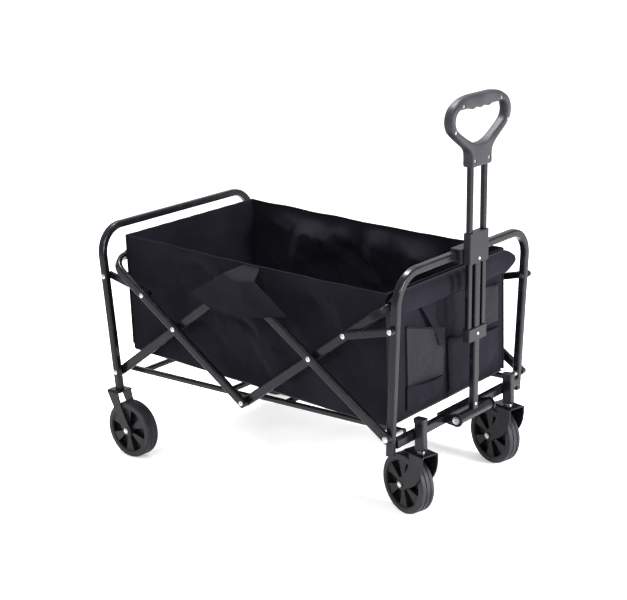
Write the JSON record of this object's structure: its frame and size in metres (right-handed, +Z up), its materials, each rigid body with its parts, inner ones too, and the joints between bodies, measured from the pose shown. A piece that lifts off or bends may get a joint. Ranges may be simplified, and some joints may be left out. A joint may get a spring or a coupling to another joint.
{
  "type": "folding beach cart",
  "caption": "Open folding cart: tubular scissor frame with end hoops, open-topped fabric bag, rear wheels, front castors and a telescopic pull handle that tilts forward.",
  "frame": {"origin": "on the ground under the centre of the open cart's bounding box", "axes": "+X forward to the pull-handle end, +Y to the cart's left, +Z up"},
  "size_m": [0.843, 0.5424, 0.8315],
  "materials": {
    "powder_coat": "black powder coat, satin",
    "rivet_steel": "zinc-plated steel",
    "wheel_plastic": "moulded, satin",
    "tyre_rubber": "ribbed, matt",
    "cap_plastic": "moulded, satin",
    "grip_plastic": "soft-touch, fine texture",
    "bag_cloth": "coated plain weave",
    "bag_mesh": "open mesh",
    "floor_cloth": "plain weave over a stiff board"
  },
  "bodies": {
    "rear_frame": {"rear_hoop": "powder_coat", "rear_forks": "powder_coat", "rear_axles": "rivet_steel", "rear_frame_rivets": "rivet_steel"},
    "wheel_rear_left": {"rear_rim_left": "wheel_plastic", "rear_tyre_left": "tyre_rubber"},
    "wheel_rear_right": {"rear_rim_right": "wheel_plastic", "rear_tyre_right": "tyre_rubber"},
    "rear_bars": {"rear_foot_bars": "powder_coat", "rear_bar_rivets": "rivet_steel"},
    "rear_top": {"rear_top_tube": "powder_coat", "top_tube_rivets": "rivet_steel"},
    "front_bars": {"front_foot_bars": "powder_coat", "front_bar_rivets": "rivet_steel"},
    "front_top": {"front_top_tube": "powder_coat"},
    "front_frame": {"front_hoop": "powder_coat", "front_cross_tube": "powder_coat", "castor_stems": "powder_coat", "stem_caps": "cap_plastic", "stem_bushes": "cap_plastic", "front_frame_rivets": "rivet_steel", "handle_saddle": "powder_coat", "handle_pivot_bolt": "rivet_steel"},
    "rear_stay_pair": {"rear_stays": "powder_coat"},
    "front_stay_pair": {"front_stays": "powder_coat", "front_stay_rivets": "rivet_steel"},
    "rear_floor": {"rear_floor_frame": "powder_coat", "rear_floor_board": "floor_cloth", "floor_centre_strip": "floor_cloth"},
    "front_floor": {"front_floor_frame": "powder_coat", "rail_plugs": "cap_plastic", "front_floor_board": "floor_cloth"},
    "bag_rear": {"bag_rear_wall": "bag_cloth", "bag_side_left": "bag_cloth", "bag_side_right": "bag_cloth", "rear_sleeve": "bag_cloth", "side_flap_left": "bag_cloth", "side_flap_right": "bag_cloth"},
    "bag_front": {"bag_front_wall": "bag_cloth", "front_sleeve": "bag_cloth", "mesh_pocket": "bag_mesh", "fabric_pocket": "bag_cloth"},
    "castor_left": {"front_fork_left": "powder_coat", "castor_pin_left": "rivet_steel", "front_axle_left": "rivet_steel"},
    "castor_right": {"front_fork_right": "powder_coat", "castor_pin_right": "rivet_steel", "front_axle_right": "rivet_steel"},
    "wheel_front_left": {"front_rim_left": "wheel_plastic", "front_tyre_left": "tyre_rubber"},
    "wheel_front_right": {"front_rim_right": "wheel_plastic", "front_tyre_right": "tyre_rubber"},
    "handle": {"handle_stem": "powder_coat", "handle_top_block": "cap_plastic", "handle_rivets": "rivet_steel"},
    "handle_slide": {"handle_collar": "cap_plastic", "side_tubes": "powder_coat", "grip_front": "grip_plastic", "grip_back": "grip_plastic", "grip_screws": "rivet_steel"}
  },
  "joints": [
    {"name": "fold", "type": "hinge", "parent": "rear_frame", "child": "rear_bars", "pos_m": [-0.39062, 0, 0.19], "axis": [0, -1, 0], "range_deg": [0, 43], "deforming": ["bag_side_left", "bag_side_right", "side_flap_left", "side_flap_right", "floor_centre_strip"]},
    {"name": "rear_cross_pivot", "type": "hinge", "parent": "rear_bars", "child": "rear_top", "pos_m": [-0.20462, 0, 0.32024], "axis": [0, -1, 0], "range_deg": [-86.5, 0]},
    {"name": "apex_pivot", "type": "hinge", "parent": "rear_bars", "child": "front_bars", "pos_m": [-0.01862, 0, 0.45048], "axis": [0, -1, 0], "range_deg": [-86.5, 0]},
    {"name": "front_cross_pivot", "type": "hinge", "parent": "front_bars", "child": "front_top", "pos_m": [0.16738, 0, 0.32024], "axis": [0, -1, 0], "range_deg": [0, 86.5]},
    {"name": "front_foot_pivot", "type": "hinge", "parent": "front_bars", "child": "front_frame", "pos_m": [0.35338, 0, 0.19], "axis": [0, -1, 0], "range_deg": [0, 43.5]},
    {"name": "rear_stay_pivot", "type": "hinge", "parent": "rear_frame", "child": "rear_stay_pair", "pos_m": [-0.40592, 0, 0.40892], "axis": [0, -1, 0], "range_deg": [0, 83.62]},
    {"name": "front_stay_pivot", "type": "hinge", "parent": "front_frame", "child": "front_stay_pair", "pos_m": [0.36869, 0, 0.40892], "axis": [0, -1, 0], "range_deg": [-83.62, 0]},
    {"name": "rear_floor_pivot", "type": "hinge", "parent": "rear_frame", "child": "rear_floor", "pos_m": [-0.39062, 0, 0.19], "axis": [0, -1, 0], "range_deg": [0, 75.8]},
    {"name": "front_floor_pivot", "type": "hinge", "parent": "front_frame", "child": "front_floor", "pos_m": [0.35338, 0, 0.19], "axis": [0, -1, 0], "range_deg": [-75.8, 0]},
    {"name": "rear_sleeve_pivot", "type": "hinge", "parent": "rear_top", "child": "bag_rear", "pos_m": [-0.38652, 0, 0.44761], "axis": [0, -1, 0], "range_deg": [0, 43.5]},
    {"name": "front_sleeve_pivot", "type": "hinge", "parent": "front_top", "child": "bag_front", "pos_m": [0.34929, 0, 0.44761], "axis": [0, -1, 0], "range_deg": [-43.5, 0]},
    {"name": "rear_wheel_left_spin", "type": "hinge", "parent": "rear_frame", "child": "wheel_rear_left", "pos_m": [-0.35362, 0.245, 0.0635], "axis": [0, 1, 0], "continuous": true},
    {"name": "rear_wheel_right_spin", "type": "hinge", "parent": "rear_frame", "child": "wheel_rear_right", "pos_m": [-0.35362, -0.245, 0.0635], "axis": [0, 1, 0], "continuous": true},
    {"name": "castor_left_swivel", "type": "hinge", "parent": "front_frame", "child": "castor_left", "pos_m": [0.37438, 0.161, 0.142], "axis": [0, 0, 1], "continuous": true},
    {"name": "front_wheel_left_spin", "type": "hinge", "parent": "castor_left", "child": "wheel_front_left", "pos_m": [0.33381, 0.17187, 0.0635], "axis": [0.2588, 0.9659, 0], "continuous": true},
    {"name": "castor_right_swivel", "type": "hinge", "parent": "front_frame", "child": "castor_right", "pos_m": [0.37438, -0.161, 0.142], "axis": [0, 0, 1], "continuous": true},
    {"name": "front_wheel_right_spin", "type": "hinge", "parent": "castor_right", "child": "wheel_front_right", "pos_m": [0.33381, -0.15013, 0.0635], "axis": [0.2588, 0.9659, 0], "continuous": true},
    {"name": "handle_tilt", "type": "hinge", "parent": "front_frame", "child": "handle", "pos_m": [0.39138, 0, 0.178], "axis": [0, 1, 0], "range_deg": [0, 95]},
    {"name": "handle_extend", "type": "slide", "parent": "handle", "child": "handle_slide", "axis": [0.0279, 0, 0.9996], "range_m": [-0.125, 0.13]}
  ],
  "couplings": [
    {"joint": "rear_cross_pivot", "follows": "fold", "ratio": -2},
    {"joint": "apex_pivot", "follows": "fold", "ratio": -2},
    {"joint": "front_cross_pivot", "follows": "fold", "ratio": 2},
    {"joint": "front_foot_pivot", "follows": "fold", "ratio": 1},
    {"joint": "rear_stay_pivot", "follows": "fold", "ratio": 1.933},
    {"joint": "front_stay_pivot", "follows": "fold", "ratio": -1.933},
    {"joint": "rear_floor_pivot", "follows": "fold", "ratio": 1.7512},
    {"joint": "front_floor_pivot", "follows": "fold", "ratio": -1.7512},
    {"joint": "rear_sleeve_pivot", "follows": "fold", "ratio": 1},
    {"joint": "front_sleeve_pivot", "follows": "fold", "ratio": -1}
  ]
}
